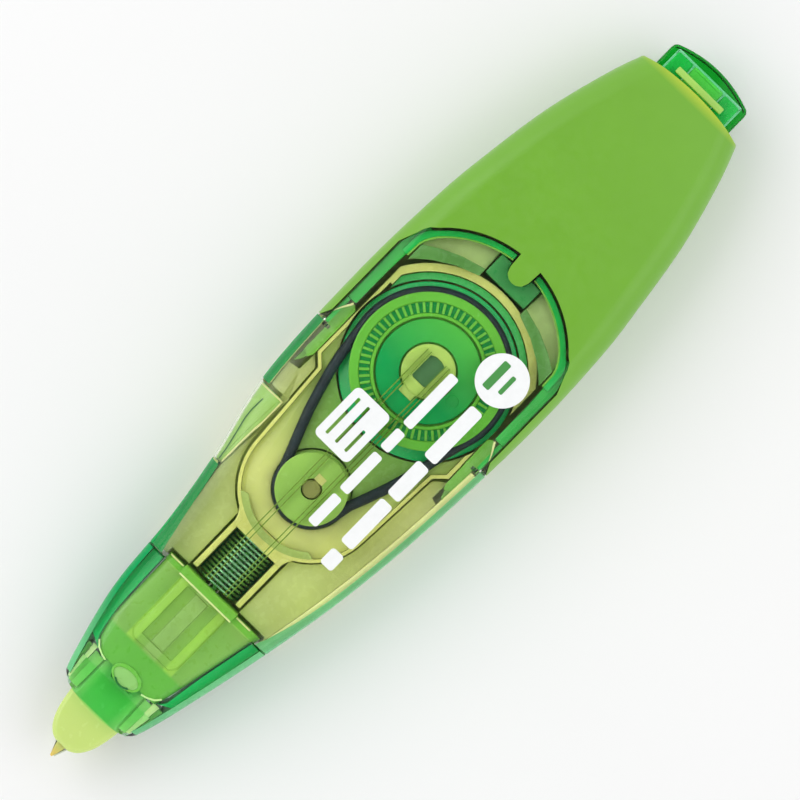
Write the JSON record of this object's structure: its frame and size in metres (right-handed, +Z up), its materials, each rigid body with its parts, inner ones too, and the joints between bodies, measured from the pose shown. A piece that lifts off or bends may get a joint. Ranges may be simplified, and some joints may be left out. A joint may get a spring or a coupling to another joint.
{
  "type": "correction tape roller",
  "caption": "Pen-shaped retractable correction tape roller with a clear reel window, belt-driven reels, knock button and pull-off rear cover.",
  "frame": {"origin": "centre of the flat lower face the roller lies on", "axes": "+X along the length towards the knock button, +Y across, +Z up through the window face"},
  "size_m": [0.136, 0.0336, 0.016],
  "materials": {
    "clear_green": "clear green tinted plastic, polished",
    "clear_olive": "clear yellow-green tinted plastic, polished",
    "emerald": "clear dark emerald plastic, polished",
    "lime": "moulded lime plastic, satin",
    "cover_lime": "opaque lime plastic, fine satin",
    "pale_lime": "translucent pale lime plastic",
    "yellow_lime": "translucent yellow-lime plastic",
    "flange_green": "translucent green plastic",
    "dark_green": "dark green plastic",
    "belt_rubber": "dark rubber cord",
    "correction_tape": "white coated tape",
    "backing_film": "glassine backing film",
    "spring_steel": "drawn spring wire"
  },
  "bodies": {
    "casing": {"nose_cap": "clear_green", "guide_bush": "lime", "window_shell_upper": "clear_olive", "window_shell_lower": "clear_olive", "side_strip_left_front": "emerald", "side_strip_left_rear": "emerald", "side_strip_right": "yellow_lime", "return_spring": "spring_steel"},
    "release": {"release_button": "lime"},
    "cover": {"rear_cover": "cover_lime", "button_lip_upper": "lime", "button_lip_lower": "lime", "cam_sleeve": "lime"},
    "knock": {"push_rod": "dark_green", "knock_core": "lime", "knock_button": "emerald"},
    "rotor": {"cam_rotor": "pale_lime"},
    "cartridge": {"cartridge_tray": "yellow_lime", "cartridge_lid": "yellow_lime", "supply_hub_cap": "yellow_lime", "tip_holder": "pale_lime", "tip_blade": "yellow_lime", "tape_feed_run": "correction_tape", "tape_return_run": "backing_film", "drive_belt": "belt_rubber"},
    "supply": {"supply_reel": "flange_green", "fresh_tape_roll": "correction_tape", "supply_pulley": "lime", "clutch_disc": "emerald"},
    "takeup": {"takeup_reel": "yellow_lime", "used_tape_roll": "backing_film", "takeup_pulley": "yellow_lime"}
  },
  "joints": [
    {"name": "release_press", "type": "slide", "parent": "casing", "child": "release", "axis": [0, -1, 0], "range_m": [0, 0.0006], "stiffness_N_per_m": 400},
    {"name": "cover_pull", "type": "slide", "parent": "casing", "child": "cover", "axis": [1, 0, 0], "range_m": [0, 0.045]},
    {"name": "knock_slide", "type": "slide", "parent": "cover", "child": "knock", "axis": [1, 0, 0], "range_m": [0, 0.0095]},
    {"name": "rotor_turn", "type": "hinge", "parent": "knock", "child": "rotor", "pos_m": [0.0425, 0, 0.008], "axis": [1, 0, 0], "range_deg": [0, 46]},
    {"name": "cartridge_slide", "type": "slide", "parent": "casing", "child": "cartridge", "axis": [1, 0, 0], "range_m": [0, 0.0095], "deforming": ["return_spring"]},
    {"name": "supply_spin", "type": "hinge", "parent": "cartridge", "child": "supply", "pos_m": [0.0087, -0.0003, 0.008], "axis": [0, 0, 1], "continuous": true},
    {"name": "takeup_spin", "type": "hinge", "parent": "cartridge", "child": "takeup", "pos_m": [-0.0148, -0.0001, 0.008], "axis": [0, 0, 1], "continuous": true}
  ],
  "couplings": [
    {"joint": "rotor_turn", "follows": "knock_slide", "rad_per_m": 82.673},
    {"joint": "cartridge_slide", "follows": "knock_slide", "ratio": 1},
    {"joint": "takeup_spin", "follows": "supply_spin", "ratio": 2.3125}
  ]
}
